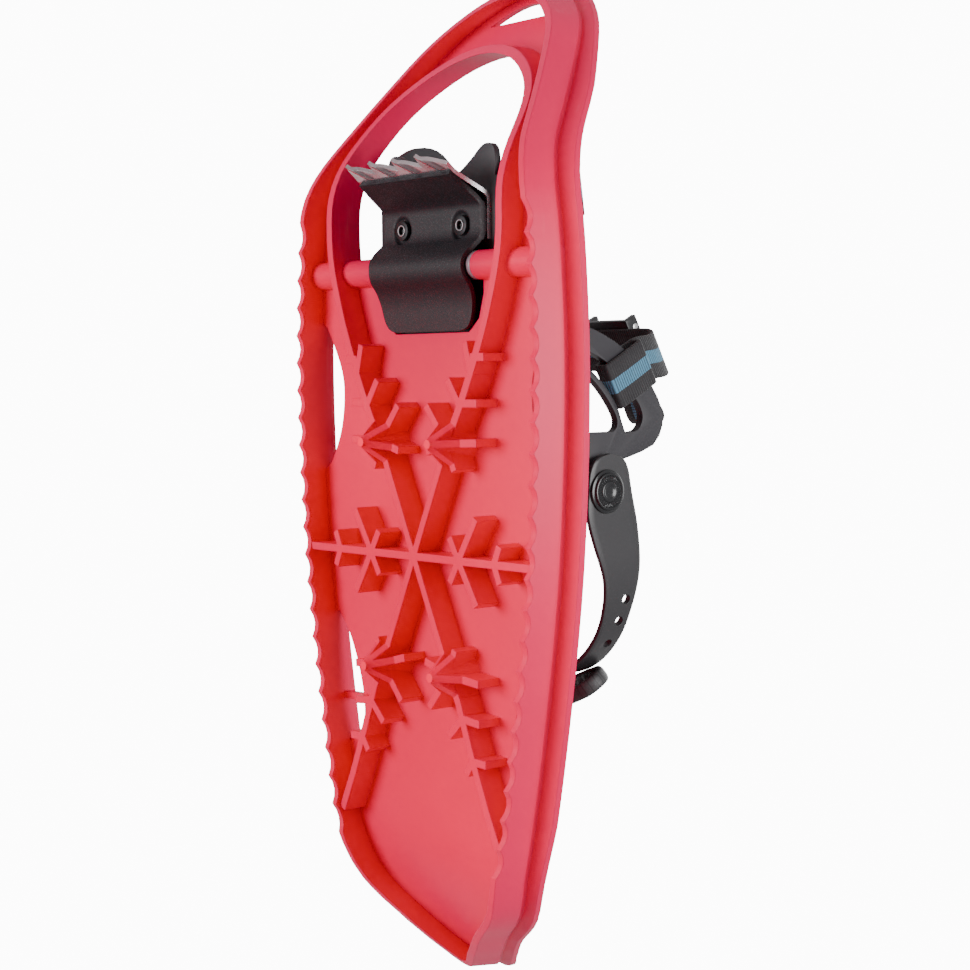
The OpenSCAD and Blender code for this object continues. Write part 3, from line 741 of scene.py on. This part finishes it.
def make_crampon():
    """One sheet of steel: a flat under the sole, a slope, a bend, and saw teeth with stamped gussets."""
    shape = bpy.context.scene.snowshoe_shape
    plate = smooth_curve([(0, 130.2, 18.0), (0, 139, 18.0), (0, 146.0, 18.0), (0, 148.6, 17.0),
                          (0, 151, 13.2), (0, 156.2, 3.2), (0, 158.0, 0.4)], 4)
    foot = plate[-1]
    reach = Vector(TOOTH_TIP) - foot
    columns = []    # for each its x, its share of the reach and its tooth's upright edge
    for tooth in range(TOOTH_COUNT):
        start = TOOTH_HALF - tooth * TOOTH_PITCH
        for k in range(TOOTH_COLUMNS + 1):
            columns.append((start - TOOTH_PITCH * TOOTH_SPAN * k / TOOTH_COLUMNS,
                            1.0 - TOOTH_FALL * k / TOOTH_COLUMNS, start))
    rows = []
    for i, p in enumerate(plate):
        ahead = plate[min(i + 1, len(plate) - 1)] - plate[max(i - 1, 0)]
        out = Vector((0, ahead.z, -ahead.y)).normalized()
        half = 33.6 - 2.2 * smooth_step((p.y - 147) / 10)
        rows.append([(Vector((x * half / TOOTH_HALF, p.y, p.z)), out) for x, r, s in columns])
    down = Vector((0, reach.z, -reach.y)).normalized()
    for j in range(1, TOOTH_ROWS + 1):
        t = j / TOOTH_ROWS
        row = []
        for x, r, start in columns:
            far = t * r
            ridge = start - GUSSET_R - (1 - far) * TOOTH_PITCH * 0.62
            fade = smooth_step(t * 4) * smooth_step((1.06 - far) * 5)
            lift = shape.gusset_height / MM * math.exp(-((x - ridge) / GUSSET_R) ** 2) * fade
            p = Vector((x * TIP_HALF / TOOTH_HALF, foot.y + reach.y * far, foot.z + reach.z * far))
            row.append((p + down * lift, down))
        rows.append(row)
    front = [[at(*(p + out * STEEL / 2)) for p, out in row] for row in rows]
    back = [[at(*(p - out * STEEL / 2)) for p, out in row] for row in rows]
    verts, faces = sheet_of(front, back)
    obj = solid("toothed_steel_plate", verts, faces, angle=35, bevel=0.12, segments=1, limit=60)
    return place(obj, "crampon", bare_steel())


SOCKET_R = 2.15
SOCKET_HIGHLIGHT_EDGE = (0.32, 0.22)      # half the highlight ring's width and half its height


def make_socket_highlight_rings():
    """Plated rings round the sockets of the two blackened screws: bright metal standing in for the highlight
    on each socket's rim, a painted highlight.
    """
    for s, side in ((-1, "left"), (1, "right")):
        rings = []
        for j in range(48):
            a = 2 * math.pi * j / 48
            ring = []
            for k in range(8):
                b = 2 * math.pi * k / 8
                r = SOCKET_R + SOCKET_HIGHLIGHT_EDGE[0] * math.cos(b)
                ring.append(at(s * SCREW_X + r * math.cos(a), SCREW_Y + r * math.sin(a),
                               SCREW_HEAD_Z + SOCKET_HIGHLIGHT_EDGE[1] * math.sin(b)))
            rings.append(ring)
        verts, faces = tube_of(rings, loop=True)
        obj = solid(f"socket_highlight_ring_{side}", verts, faces, angle=80)
        place(obj, "crampon_screws", plated_steel())


# -------------------- straps

STRAP_WIDTH = 21.0
STRAP_T = 1.8
INNER_X, OUTER_X = 36.25, 42.55     # the strap's middle on the inside and the outside of a wing
TURN_R = 1.1                        # how tightly the strap turns round the wing's rail
BUCKLE_LIFT = 25.7                  # the buckle's height over the strap's axis
BUCKLE_SHIFT = -4                   # how far it sits from the strap's middle
INSTEP = ((78.2, 96.0), 62)         # the axis of each strap as (y, z), and its tilt in degrees
TOE = ((150.0, 50.0), 82)


def strap_axes(centre, tilt):
    """The middle of a webbing strap's axis, and where its normal and its width point."""
    a = math.radians(90 - tilt)
    normal = Vector((0, math.sin(a), math.cos(a)))
    return Vector((0, *centre)), normal, Vector((0, math.cos(a), -math.sin(a)))


def wrap(over, low, high):
    """Path of a strap in (across, normal): over the foot and once round the rail, on one side."""
    r = TURN_R
    return over + [(INNER_X, low + 3), (INNER_X, low + r), (INNER_X + r * 0.3, low + r * 0.3),
                   (INNER_X + r, low), (OUTER_X - r, low), (OUTER_X - r * 0.3, low + r * 0.3),
                   (OUTER_X, low + r), (OUTER_X, low + 3), (OUTER_X + 0.25, (low + high) / 2),
                   (OUTER_X, high - 3), (OUTER_X, high - r), (OUTER_X - r * 0.3, high - r * 0.3),
                   (OUTER_X - r, high), (INNER_X + 1.9, high)]


def make_webbing(name, node, centre, tilt, over, low, high, slant=0.0):
    """A strap over the foot, led round the rails between two heights, slanting towards its middle."""
    c, n, width = strap_axes(centre, tilt)
    side = wrap(over, low, high)
    line = [(-x, h) for x, h in side[:0:-1]] + side
    line = smooth_curve([(x, h, 0) for x, h in line], 5)
    path = [at(*(c + Vector((p.x, 0, 0)) + n * p.y + width * slant * smooth_step((p.y - high) / 18)))
            for p in line]
    obj = strap(name, path, width, STRAP_WIDTH * MM, STRAP_T * MM)
    return place(obj, node, webbing())


PULL_WIDTH, PULL_T = 16, 1.3


def make_pull_loop():
    """The webbing's free end, folded back on itself and sewn."""
    c, n, width = strap_axes(*INSTEP)
    side = Vector((1, 0, 0))
    # The buckle's own axes: y runs over the strap's width towards the toe, z away from the foot
    line = [(-15.6, 2.1), (-20, 2.5), (-25, 3.1), (-31, 5.2), (-36, 6.6), (-39.4, 6.2), (-40.8, 3.6),
            (-39.6, 0.4), (-36, -0.9), (-31, -0.7), (-25, 0.3), (-20, 0.6), (-15.6, 0.6)]
    line = smooth_curve([(y, z, 0) for y, z in line], 5)
    path = [at(*(c + width * (p.x + BUCKLE_SHIFT) + n * (BUCKLE_LIFT + p.y))) for p in line]
    obj = strap("webbing_pull_loop", path, side, PULL_WIDTH * MM, PULL_T * MM)
    return place(obj, "pull_loop", webbing())


# -------------------- heel strap

HEEL_SIDE_X = 45.2
HEEL_AXIS = (25, 70.5)      # y and z of the buttons the strap swings on
# Half of the band seen from above, then its lower and its upper edge as (y, z)
HEEL_PLAN = [(0, -57), (15, -55.5), (28, -49.5), (37, -39.5), (42, -26), (44.6, -10), (HEEL_SIDE_X, 10),
             (HEEL_SIDE_X, 42)]
HEEL_LOW = [(-60, 69.6), (-46, 70.6), (-30, 72.4), (-14, 71), (2, 64.5), (14, 60.6), (24, 60.8), (33, 61.8),
            (39, 65.5), (41, 73)]
HEEL_HIGH = [(-60, 84), (-46, 85), (-30, 88), (-10, 91), (8, 89.6), (24, 86), (35, 83.6), (39.6, 79.5),
             (41, 73)]
HEEL_T = 2.6
HEEL_HOLES = [((43, -22, 84), -12), ((40, -31, 82), -25), ((35.6, -40.5, 79.5), -38)]
HEEL_HOLE_R, AXIS_HOLE_R = 2.2, 3.05
HEEL_ROWS = 16


def smooth_edge(points):
    """A smooth line through (y, z) pairs."""
    return [(p.x, p.y) for p in smooth_curve([(y, z, 0) for y, z in points], 6)]


def make_heel_strap():
    """A moulded band from button to button, wide behind the heel, with holes for its length."""
    low_edge, high_edge = smooth_edge(HEEL_LOW), smooth_edge(HEEL_HIGH)
    half = smooth_curve([(x, y, 0) for x, y in HEEL_PLAN], 14)
    ends = [p for p in half if p.y < 33]
    ends += [Vector((HEEL_SIDE_X, y, 0)) for y in (34, 35.5, 37, 38.2, 39.2, 39.9, 40.4, 40.75, 40.95)]
    line = [Vector((-p.x, p.y, 0)) for p in ends[:0:-1]] + ends
    rings = []
    for i, p in enumerate(line):
        ahead = line[min(i + 1, len(line) - 1)] - line[max(i - 1, 0)]
        out = Vector((ahead.y, -ahead.x, 0)).normalized()
        z0, z1 = value_on(low_edge, p.y), value_on(high_edge, p.y)
        soft = 0.6 * min(0.7, (z1 - z0) * 0.2)
        levels = [z0 + (z1 - z0) * k / HEEL_ROWS for k in range(HEEL_ROWS + 1)]
        outer = [p + out * HEEL_T / 2 + Vector((0, 0, z)) for z in levels]
        inner = [p - out * HEEL_T / 2 + Vector((0, 0, z)) for z in reversed(levels)]
        for face, inwards in ((outer, -soft), (inner, soft)):
            face[0] += out * inwards
            face[-1] += out * inwards
        top = p + Vector((0, 0, z1 + 0.25))
        bottom = p + Vector((0, 0, z0 - 0.25))
        rings.append([at(*v) for v in outer + [top] + inner + [bottom]])
    verts, faces = tube_of(rings)
    obj = solid("moulded_heel_strap", verts, faces, angle=45)
    for (x, y, z), turn in HEEL_HOLES:
        for s in (-1, 1):
            cut_round(obj, at(s * x, y, z), math.radians(s * turn), HEEL_HOLE_R * MM)
    for s in (-1, 1):
        cut_round(obj, at(s * HEEL_SIDE_X, *HEEL_AXIS), 0.0, AXIS_HOLE_R * MM)
    crease(obj.data, 40)
    return place(obj, "heel_strap", strap_rubber(), "heel_strap_body")


def cut_round(obj, centre, turn, radius):
    """Cuts a round hole whose axis is level, turned about Z from the X axis."""
    depth = 12 * MM
    bm = bmesh.new()
    bmesh.ops.create_cone(bm, cap_ends=True, segments=40, radius1=radius, radius2=radius, depth=depth,
                          matrix=Matrix.Translation(centre) @ Matrix.Rotation(turn, 4, "Z")
                          @ Matrix.Rotation(math.pi / 2, 4, "Y"))
    mesh = bpy.data.meshes.new("cutter")
    bm.to_mesh(mesh)
    bm.free()
    cutter = new_object("cutter", mesh)
    mod = obj.modifiers.new("hole", "BOOLEAN")
    mod.operation, mod.solver, mod.object = "DIFFERENCE", "EXACT", cutter
    settle(obj)
    bpy.data.objects.remove(cutter)
    bpy.data.meshes.remove(mesh)


# Section of a button as (radius, x), and the radii between which its ring of marks lies
BUTTON_SIDE = [(3.02, 46.72), (8.9, 46.72), (9.25, 46.86), (9.4, 47.1), (9.3, 47.45), (9.0, 47.62),
               (8.3, 47.7), (8.1, 47.85), (7.95, 48.5), (7.7, 48.78), (7.3, 48.86), (7.0, 48.72),
               (6.8, 48.45), (6.6, 48.42), (6.2, 48.42), (5.7, 48.42), (5.2, 48.42), (4.8, 48.42),
               (4.5, 48.42), (4.3, 48.66), (4.0, 48.8), (3.4, 48.82), (3.0, 48.7), (2.6, 48.5), (1.6, 48.4),
               (0.4, 48.38)]
MARK_RING = (4.7, 6.7)
MARK_HEIGHT = 0.28
BUTTON_STEPS = 208


def make_button(name, side, marks):
    """Turns the section round the X axis and raises uneven marks on its ring."""
    centre = at(0, *HEEL_AXIS)
    rings = []
    for j in range(BUTTON_STEPS):
        a = 2 * math.pi * j / BUTTON_STEPS
        ring = []
        for r, x in BUTTON_SIDE:
            raised = 0.0
            if MARK_RING[0] < r < MARK_RING[1]:
                wave = math.sin(a * marks) + 0.45 * math.sin(a * (marks * 2 + 1) + 5 * r)
                raised = MARK_HEIGHT * smooth_step((wave + 0.1) * 3)
            off = Vector((side * (x + raised) * MM, r * MM * math.cos(a), r * MM * math.sin(a)))
            ring.append(centre + off)
        rings.append(ring)
    verts, faces = tube_of(rings, closed_ring=False, loop=True)
    n = len(BUTTON_SIDE)
    faces.append(tuple(j * n + n - 1 for j in range(BUTTON_STEPS)))
    obj = solid(name, verts, faces, angle=34)
    return place(obj, "heel_buttons", gloss_black())


TAB_AT = (-20, -62.5, 79)
TAB_TURN, TAB_TILT = -22, 62        # degrees about Z, then about the tab's length
TAB_R, TAB_STRAIGHT = 9.0, 6.0      # radius of its round ends, and half the straight between them
TAB_STEPS = 96
# Share of the outline, height, and 1 for the rings outside the diamond field, whose UVs are set apart
TAB_RINGS = [(0.05, -2.7, 0), (0.3, -2.7, 0), (0.55, -2.7, 0), (0.74, -2.7, 0), (0.77, -2.75, 1),
             (0.80, -3.3, 1), (0.84, -3.5, 1), (0.90, -3.5, 1), (0.95, -3.2, 1), (0.985, -2.4, 1),
             (1.0, -1.2, 1), (1.0, 1.2, 1), (0.985, 2.4, 1), (0.95, 3.2, 1), (0.9, 3.4, 1), (0.7, 3.4, 1),
             (0.3, 3.4, 1), (0.05, 3.4, 1)]


def make_tab():
    """Thumb tab: a thick oval pad with a raised rim round a field of diamonds."""
    where = (Matrix.Translation(at(*TAB_AT)) @ Matrix.Rotation(math.radians(TAB_TURN), 4, "Z")
             @ Matrix.Rotation(math.radians(TAB_TILT), 4, "X"))
    rings, uv = [], []
    for share, z, plain in TAB_RINGS:
        narrow = (0.4 + 0.6 * share) * share ** 0.5 if share < 0.5 else share
        ring = []
        for k in range(TAB_STEPS):
            a = 2 * math.pi * k / TAB_STEPS
            straight = TAB_STRAIGHT * max(-1.0, min(1.0, math.cos(a) * 2.4))
            x = (straight + TAB_R * math.cos(a)) * narrow
            y = TAB_R * math.sin(a) * share
            ring.append(where @ Vector((x * MM, y * MM, z * MM)))
            uv.append((x * MM + plain, y * MM))
        rings.append(ring)
    verts, faces = tube_of(rings)
    obj = solid("heel_thumb_tab", verts, faces, angle=50, uv=uv)
    return place(obj, "heel_tab", grip_rubber(), "heel_strap_body")


# -------------------- stage

CAMERA_AT = Vector((-0.626942, 0.045698, -0.479697))
CAMERA_AHEAD = Vector((0.76261, -0.05896, 0.64417))
CAMERA_RIGHT = Vector((-0.6457, -0.00959, 0.76353))
LENS, SENSOR = 70.515, 36.0
MIDDLE = Vector((0.0, 0.0, 0.04))
FLOOR_HALF = 3.0


def lamp(name, where, size, power):
    """A round white lamp that faces the shoe's middle."""
    data = bpy.data.lights.new(name, "AREA")
    data.shape = "DISK"
    data.size = size
    data.energy = power
    obj = new_object(name, data)
    facing = (MIDDLE - Vector(where)).to_track_quat("-Z", "Y")
    obj.matrix_world = Matrix.Translation(where) @ facing.to_matrix().to_4x4()


def floor_material():
    """Pale floor that is seen from above only and casts no shadow."""
    material = bpy.data.materials.new("Pale Floor")
    material.use_nodes = True
    net = Net(material.node_tree)
    shader = material.node_tree.nodes["Principled BSDF"]
    shader.inputs["Base Color"].default_value = (0.86, 0.86, 0.86, 1)
    shader.inputs["Roughness"].default_value = 0.7
    clear = net.add("ShaderNodeBsdfTransparent")
    mix = net.add("ShaderNodeMixShader")
    back = net.add("ShaderNodeNewGeometry").outputs["Backfacing"]
    shadow = net.add("ShaderNodeLightPath").outputs["Is Shadow Ray"]
    net.join(net.math("MAXIMUM", back, shadow), mix.inputs[0])
    net.join(shader.outputs[0], mix.inputs[1])
    net.join(clear.outputs[0], mix.inputs[2])
    net.join(mix.outputs[0], material.node_tree.nodes["Material Output"].inputs["Surface"])
    return material


def make_floor():
    """A pale square under the shoe."""
    mesh = bpy.data.meshes.new("pale_floor")
    h = FLOOR_HALF
    mesh.from_pydata([(-h, -h, 0), (h, -h, 0), (h, h, 0), (-h, h, 0)], [], [(0, 1, 2, 3)])
    mesh.materials.append(floor_material())
    new_object("pale_floor", mesh)


def make_world(stage):
    """White surroundings with one strength as seen, one as mirrored and one as light."""
    world = bpy.data.worlds.new("White Surroundings")
    world.use_nodes = True
    net = Net(world.node_tree)
    path = net.add("ShaderNodeLightPath")
    light = world.node_tree.nodes["Background"]
    light.inputs["Color"].default_value = (1, 1, 1, 1)
    seen = net.math("MULTIPLY", path.outputs["Is Camera Ray"], stage.backdrop)
    mirrored = net.math("MULTIPLY", path.outputs["Is Glossy Ray"], stage.shine)
    net.join(net.math("ADD", net.math("ADD", seen, mirrored), stage.sky), light.inputs["Strength"])
    bpy.context.scene.world = world


def make_camera():
    """Looks at the shoe's underside from below its left side."""
    down = CAMERA_AHEAD.cross(CAMERA_RIGHT)
    turn = Matrix((CAMERA_RIGHT, -down, -CAMERA_AHEAD)).transposed()
    camera = new_object("camera", bpy.data.cameras.new("camera"))
    camera.data.lens = LENS
    camera.data.sensor_width = SENSOR
    camera.matrix_world = Matrix.Translation(CAMERA_AT) @ turn.to_4x4()
    bpy.context.scene.camera = camera


def make_stage():
    """Floor, surroundings, lamps and camera."""
    stage = bpy.context.scene.snowshoe_stage
    make_floor()
    make_world(stage)
    lamp("key_lamp", (0.35, 0.15, -1.0), 0.6, stage.key_power)
    lamp("side_lamp", (-1.1, 0.05, 0.30), 0.6, stage.side_power)
    lamp("top_lamp", (0.15, 0.1, 1.1), 0.9, stage.top_power)
    make_camera()


# -------------------- operators

class SNOWSHOE_OT_deck(bpy.types.Operator):
    """Moulded deck with its rim leaning outwards"""
    bl_idname = "snowshoe.deck"
    bl_label = "Deck"

    def execute(self, context):
        make_deck()
        return {"FINISHED"}


class SNOWSHOE_OT_pivot(bpy.types.Operator):
    """Steel rod, plug, end bushes and the hub that turns on the rod"""
    bl_idname = "snowshoe.pivot"
    bl_label = "Pivot"

    def execute(self, context):
        refined("pivot_rod", "turned_rod", plated_steel(), "deck_body", bevel=0.4)
        refined("rod_cap", "rod_plug", deck_plastic(), "deck_body", bevel=0.4)
        refined("pivot_bushes", "end_bushes", bush_plastic(), "deck_body")
        refined("pivot_hub", "moulded_hub", hard_black())
        return {"FINISHED"}


class SNOWSHOE_OT_cover(bpy.types.Operator):
    """Powder-coated cover that clasps the hub"""
    bl_idname = "snowshoe.cover"
    bl_label = "Crampon Cover"

    def execute(self, context):
        make_cover()
        return {"FINISHED"}


class SNOWSHOE_OT_crampon(bpy.types.Operator):
    """Stamped steel plate with its saw teeth"""
    bl_idname = "snowshoe.crampon"
    bl_label = "Crampon"

    def execute(self, context):
        make_crampon()
        return {"FINISHED"}


class SNOWSHOE_OT_fixings(bpy.types.Operator):
    """Screws, clamp plate, washers and nuts that hold the crampon to the cradle"""
    bl_idname = "snowshoe.fixings"
    bl_label = "Fixings"

    def execute(self, context):
        refined("crampon_screws", "socket_screws", blackened_steel(), bevel=0.35)
        # The plated socket rings are a painted highlight on the screws' socket rims.
        make_socket_highlight_rings()
        refined("clamp_plate", "sheet_clamp_plate", plated_steel(), bevel=0.35)
        refined("crampon_washers", "plain_washers", plated_steel(), bevel=0.12)
        refined("lock_nuts", "hexagon_nuts", plated_steel(), bevel=0.25)
        return {"FINISHED"}


class SNOWSHOE_OT_cradle(bpy.types.Operator):
    """Soft cradle: sole, footbed and the two pairs of wings"""
    bl_idname = "snowshoe.cradle"
    bl_label = "Cradle"

    def execute(self, context):
        rounding = context.scene.snowshoe_shape.cradle_rounding / MM
        refined("cradle", "moulded_cradle", soft_black(), bevel=rounding, segments=3, angle=45)
        return {"FINISHED"}


class SNOWSHOE_OT_webbing(bpy.types.Operator):
    """The two woven straps over the foot, each wrapped round a rail on both sides"""
    bl_idname = "snowshoe.webbing"
    bl_label = "Webbing"

    def execute(self, context):
        make_webbing("woven_instep_strap", "instep_strap", *INSTEP,
                     [(0, 24.4), (13, 24.5), (22, 24.8), (29, 23.6), (34, 18.5), (36.4, 9), (36.1, -2)],
                     -19.3, 3.9, -5)
        make_webbing("woven_toe_strap", "toe_strap", *TOE,
                     [(0, 17), (18, 16), (29, 12.4), (34.6, 6.6), (36.1, -1)], -8.1, 10.7)
        make_pull_loop()
        return {"FINISHED"}


class SNOWSHOE_OT_buckle(bpy.types.Operator):
    """Cam buckle: frame, lever and pin"""
    bl_idname = "snowshoe.buckle"
    bl_label = "Buckle"

    def execute(self, context):
        refined("buckle_frame", "moulded_buckle_frame", hard_black(), bevel=0.5, segments=3)
        refined("buckle_lever", "cam_lever", gloss_black(), "lever_body", bevel=0.5, segments=3)
        refined("buckle_pin", "hinge_pin", plated_steel())
        return {"FINISHED"}


class SNOWSHOE_OT_heel(bpy.types.Operator):
    """Heel strap with its thumb tab, and the posts and buttons it swings on"""
    bl_idname = "snowshoe.heel"
    bl_label = "Heel Strap"

    def execute(self, context):
        make_heel_strap()
        make_tab()
        marks = context.scene.snowshoe_shape.button_marks
        make_button("heel_button_left", -1, marks)
        make_button("heel_button_right", 1, marks)
        refined("heel_posts", "strap_posts", plated_steel())
        return {"FINISHED"}


class SNOWSHOE_OT_stage(bpy.types.Operator):
    """Pale floor, soft lamps, white surroundings and the camera"""
    bl_idname = "snowshoe.stage"
    bl_label = "Stage"

    def execute(self, context):
        make_stage()
        return {"FINISHED"}


OPERATORS = (SNOWSHOE_OT_deck, SNOWSHOE_OT_pivot, SNOWSHOE_OT_cover, SNOWSHOE_OT_crampon,
             SNOWSHOE_OT_fixings, SNOWSHOE_OT_cradle, SNOWSHOE_OT_webbing, SNOWSHOE_OT_buckle,
             SNOWSHOE_OT_heel, SNOWSHOE_OT_stage)


class SNOWSHOE_PT_panel(bpy.types.Panel):
    bl_idname = "SNOWSHOE_PT_panel"
    bl_label = "Snowshoe"
    bl_space_type = "VIEW_3D"
    bl_region_type = "UI"
    bl_category = "Snowshoe"

    def draw(self, context):
        for operator in OPERATORS:
            self.layout.operator(operator.bl_idname)
        scene = context.scene
        for group in (scene.snowshoe_colours, scene.snowshoe_shape, scene.snowshoe_stage):
            box = self.layout.box()
            for name in group.__annotations__:
                box.prop(group, name)


CLASSES = (SnowshoeColours, SnowshoeShape, SnowshoeStage, *OPERATORS, SNOWSHOE_PT_panel)


def register():
    for cls in CLASSES:
        bpy.utils.register_class(cls)
    bpy.types.Scene.snowshoe_colours = PointerProperty(type=SnowshoeColours)
    bpy.types.Scene.snowshoe_shape = PointerProperty(type=SnowshoeShape)
    bpy.types.Scene.snowshoe_stage = PointerProperty(type=SnowshoeStage)


def unregister():
    del bpy.types.Scene.snowshoe_stage
    del bpy.types.Scene.snowshoe_shape
    del bpy.types.Scene.snowshoe_colours
    for cls in reversed(CLASSES):
        bpy.utils.unregister_class(cls)


def main():
    register()
    for operator in (bpy.ops.snowshoe.deck, bpy.ops.snowshoe.pivot, bpy.ops.snowshoe.cover,
                     bpy.ops.snowshoe.crampon, bpy.ops.snowshoe.fixings, bpy.ops.snowshoe.cradle,
                     bpy.ops.snowshoe.webbing, bpy.ops.snowshoe.buckle, bpy.ops.snowshoe.heel,
                     bpy.ops.snowshoe.stage):
        operator()


if __name__ == "__main__":
    main()
